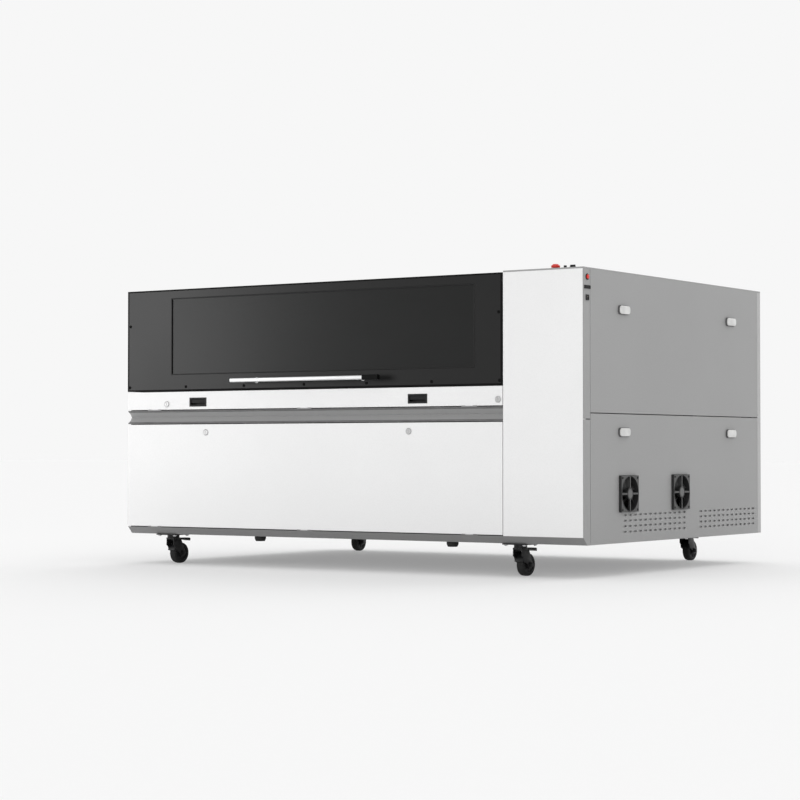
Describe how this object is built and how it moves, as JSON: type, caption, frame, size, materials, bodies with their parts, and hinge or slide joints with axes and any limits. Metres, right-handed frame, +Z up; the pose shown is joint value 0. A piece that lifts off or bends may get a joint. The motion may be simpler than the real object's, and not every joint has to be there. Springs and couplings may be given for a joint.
{
  "type": "fiber laser cutting machine",
  "caption": "Enclosed fiber laser cutting machine on casters, with a hinged hood and window, front flap and door, control column, gantry and cutting head.",
  "frame": {"origin": "on the floor under the middle of the cabinet", "axes": "+X to the right seen from the front, along the machine's width; +Y to the back; +Z up"},
  "size_m": [1.918, 1.4332, 1.019],
  "materials": {
    "white_paint": "satin",
    "grey_paint": "satin",
    "dark_paint": "satin",
    "hood_paint": "satin",
    "smoked_glass": "gloss",
    "black_steel": "satin",
    "steel": "brushed",
    "alloy": "satin",
    "black_plastic": "matte",
    "red_plastic": "gloss",
    "rubber": "matte",
    "copper": "satin",
    "ceramic": "satin"
  },
  "bodies": {
    "chassis": {"base_frame": "dark_paint", "base_pan": "grey_paint", "left_panel": "grey_paint", "rear_panel": "grey_paint", "roof_panels": "grey_paint", "column_front": "white_paint", "corner_post": "grey_paint", "right_upper_panel": "grey_paint", "right_lower_panel": "grey_paint", "groove_channel": "grey_paint", "partition_wall": "grey_paint", "lid_hinge_leaves": "steel", "caster_plates": "black_steel", "leveling_feet": "rubber", "fan_frames": "black_plastic", "linear_modules": "alloy", "bed_frame": "dark_paint", "bed_slats": "steel", "waste_tray": "grey_paint", "panel_fittings": "black_plastic"},
    "lid": {"lid_shell": "hood_paint", "lid_window": "smoked_glass", "lid_handle": "alloy"},
    "strut_cylinder": {"strut_cylinders": "black_steel"},
    "strut_rod": {"strut_rods": "steel"},
    "flap": {"flap_panel": "white_paint", "latch_cups": "black_plastic"},
    "door": {"front_door": "white_paint"},
    "gantry": {"gantry_beam": "alloy"},
    "carriage": {"cross_carriage": "dark_paint"},
    "head": {"head_slide": "alloy", "head_body": "black_steel", "clamp_collar": "black_steel", "sensor_arm": "alloy", "nozzle_nut": "steel", "ceramic_ring": "ceramic", "copper_nozzle": "copper"},
    "latch_paddle_left_body": {"latch_paddle_left": "black_plastic"},
    "latch_paddle_right_body": {"latch_paddle_right": "black_plastic"},
    "flap_lock_left_body": {"flap_lock_left": "steel"},
    "flap_lock_right_body": {"flap_lock_right": "steel"},
    "door_lock_left_body": {"door_lock_left": "steel"},
    "door_lock_right_body": {"door_lock_right": "steel"},
    "turn_latch_lower_front_body": {"turn_latch_lower_front": "steel"},
    "turn_latch_lower_rear_body": {"turn_latch_lower_rear": "steel"},
    "turn_latch_upper_front_body": {"turn_latch_upper_front": "steel"},
    "turn_latch_upper_rear_body": {"turn_latch_upper_rear": "steel"},
    "fan_rotor_front_body": {"fan_rotor_front": "black_plastic"},
    "fan_rotor_rear_body": {"fan_rotor_rear": "black_plastic"},
    "estop_button_body": {"estop_button": "red_plastic"},
    "key_switch_body": {"key_switch": "black_plastic"},
    "red_button_body": {"red_button": "red_plastic"},
    "fork_front_left": {"caster_fork_front_left": "black_steel"},
    "wheel_front_left": {"caster_wheel_front_left": "rubber"},
    "fork_front_right": {"caster_fork_front_right": "black_steel"},
    "wheel_front_right": {"caster_wheel_front_right": "rubber"},
    "fork_rear_left": {"caster_fork_rear_left": "black_steel"},
    "wheel_rear_left": {"caster_wheel_rear_left": "rubber"},
    "fork_rear_right": {"caster_fork_rear_right": "black_steel"},
    "wheel_rear_right": {"caster_wheel_rear_right": "rubber"}
  },
  "joints": [
    {"name": "lid_hinge", "type": "hinge", "parent": "chassis", "child": "lid", "pos_m": [-0.1495, 0.252, 0.997], "axis": [-1, 0, 0], "range_deg": [0, 65]},
    {"name": "strut_tilt", "type": "hinge", "parent": "chassis", "child": "strut_cylinder", "pos_m": [-0.1495, 0, 0.56], "axis": [-1, 0, 0], "range_deg": [0, 5.74]},
    {"name": "strut_extend", "type": "slide", "parent": "strut_cylinder", "child": "strut_rod", "axis": [0, 0.0824, 0.9966], "range_m": [0, 0.23736]},
    {"name": "flap_hinge", "type": "hinge", "parent": "chassis", "child": "flap", "pos_m": [-0.151, -0.6708, 0.5576], "axis": [1, 0, 0], "range_deg": [0, 90]},
    {"name": "latch_paddle_left_pull", "type": "hinge", "parent": "flap", "child": "latch_paddle_left_body", "pos_m": [-0.623, -0.6695, 0.5928], "axis": [-1, 0, 0], "range_deg": [0, 30], "stiffness_Nm_per_rad": 0.06},
    {"name": "latch_paddle_right_pull", "type": "hinge", "parent": "flap", "child": "latch_paddle_right_body", "pos_m": [0.321, -0.6695, 0.5928], "axis": [-1, 0, 0], "range_deg": [0, 30], "stiffness_Nm_per_rad": 0.06},
    {"name": "flap_lock_left_turn", "type": "hinge", "parent": "flap", "child": "flap_lock_left_body", "pos_m": [-0.768, -0.672, 0.579], "axis": [0, -1, 0], "range_deg": [0, 90]},
    {"name": "flap_lock_right_turn", "type": "hinge", "parent": "flap", "child": "flap_lock_right_body", "pos_m": [0.636, -0.672, 0.579], "axis": [0, -1, 0], "range_deg": [0, 90]},
    {"name": "door_hinge", "type": "hinge", "parent": "chassis", "child": "door", "pos_m": [-0.151, -0.6708, 0.1346], "axis": [1, 0, 0], "range_deg": [0, 90]},
    {"name": "door_lock_left_turn", "type": "hinge", "parent": "door", "child": "door_lock_left_body", "pos_m": [-0.587, -0.672, 0.476], "axis": [0, -1, 0], "range_deg": [0, 90]},
    {"name": "door_lock_right_turn", "type": "hinge", "parent": "door", "child": "door_lock_right_body", "pos_m": [0.285, -0.672, 0.476], "axis": [0, -1, 0], "range_deg": [0, 90]},
    {"name": "turn_latch_lower_front_turn", "type": "hinge", "parent": "chassis", "child": "turn_latch_lower_front_body", "pos_m": [0.954, -0.403, 0.4715], "axis": [1, 0, 0], "range_deg": [0, 90]},
    {"name": "turn_latch_lower_rear_turn", "type": "hinge", "parent": "chassis", "child": "turn_latch_lower_rear_body", "pos_m": [0.954, 0.411, 0.4715], "axis": [1, 0, 0], "range_deg": [0, 90]},
    {"name": "turn_latch_upper_front_turn", "type": "hinge", "parent": "chassis", "child": "turn_latch_upper_front_body", "pos_m": [0.954, -0.403, 0.8735], "axis": [1, 0, 0], "range_deg": [0, 90]},
    {"name": "turn_latch_upper_rear_turn", "type": "hinge", "parent": "chassis", "child": "turn_latch_upper_rear_body", "pos_m": [0.954, 0.411, 0.8735], "axis": [1, 0, 0], "range_deg": [0, 90]},
    {"name": "fan_front_spin", "type": "hinge", "parent": "chassis", "child": "fan_rotor_front_body", "pos_m": [0.954, -0.374, 0.269], "axis": [1, 0, 0], "continuous": true},
    {"name": "fan_rear_spin", "type": "hinge", "parent": "chassis", "child": "fan_rotor_rear_body", "pos_m": [0.954, 0.005, 0.269], "axis": [1, 0, 0], "continuous": true},
    {"name": "estop_press", "type": "slide", "parent": "chassis", "child": "estop_button_body", "axis": [0, 0, -1], "range_m": [0, 0.0035], "stiffness_N_per_m": 1500},
    {"name": "key_turn", "type": "hinge", "parent": "chassis", "child": "key_switch_body", "pos_m": [0.87, -0.59, 0.999], "axis": [0, 0, -1], "range_deg": [0, 90]},
    {"name": "red_button_press", "type": "slide", "parent": "chassis", "child": "red_button_body", "axis": [-1, 0, 0], "range_m": [0, 0.002], "stiffness_N_per_m": 800},
    {"name": "gantry_slide", "type": "slide", "parent": "chassis", "child": "gantry", "axis": [0, -1, 0], "range_m": [0, 0.88]},
    {"name": "carriage_slide", "type": "slide", "parent": "gantry", "child": "carriage", "axis": [1, 0, 0], "range_m": [-0.62, 0.62]},
    {"name": "head_slide_drop", "type": "slide", "parent": "carriage", "child": "head", "axis": [0, 0, -1], "range_m": [0, 0.06]},
    {"name": "caster_front_left_swivel", "type": "hinge", "parent": "chassis", "child": "fork_front_left", "pos_m": [-0.787, -0.61, 0.1], "axis": [0, 0, 1], "continuous": true},
    {"name": "caster_front_right_swivel", "type": "hinge", "parent": "chassis", "child": "fork_front_right", "pos_m": [0.684, -0.61, 0.1], "axis": [0, 0, 1], "continuous": true},
    {"name": "caster_rear_left_swivel", "type": "hinge", "parent": "chassis", "child": "fork_rear_left", "pos_m": [-0.787, 0.6, 0.1], "axis": [0, 0, 1], "continuous": true},
    {"name": "caster_rear_right_swivel", "type": "hinge", "parent": "chassis", "child": "fork_rear_right", "pos_m": [0.684, 0.6, 0.1], "axis": [0, 0, 1], "continuous": true},
    {"name": "caster_front_left_roll", "type": "hinge", "parent": "fork_front_left", "child": "wheel_front_left", "pos_m": [-0.78438, -0.58011, 0.0375], "axis": [0.9962, -0.0872, 0], "continuous": true},
    {"name": "caster_front_right_roll", "type": "hinge", "parent": "fork_front_right", "child": "wheel_front_right", "pos_m": [0.68609, -0.58007, 0.0375], "axis": [0.9976, -0.0698, 0], "continuous": true},
    {"name": "caster_rear_left_roll", "type": "hinge", "parent": "fork_rear_left", "child": "wheel_rear_left", "pos_m": [-0.787, 0.57, 0.0375], "axis": [-1, 0, 0], "continuous": true},
    {"name": "caster_rear_right_roll", "type": "hinge", "parent": "fork_rear_right", "child": "wheel_rear_right", "pos_m": [0.684, 0.63, 0.0375], "axis": [1, 0, 0], "continuous": true}
  ],
  "couplings": [
    {"joint": "strut_tilt", "follows": "lid_hinge", "ratio": 0.08837},
    {"joint": "strut_extend", "follows": "lid_hinge", "m_per_rad": 0.20922}
  ]
}
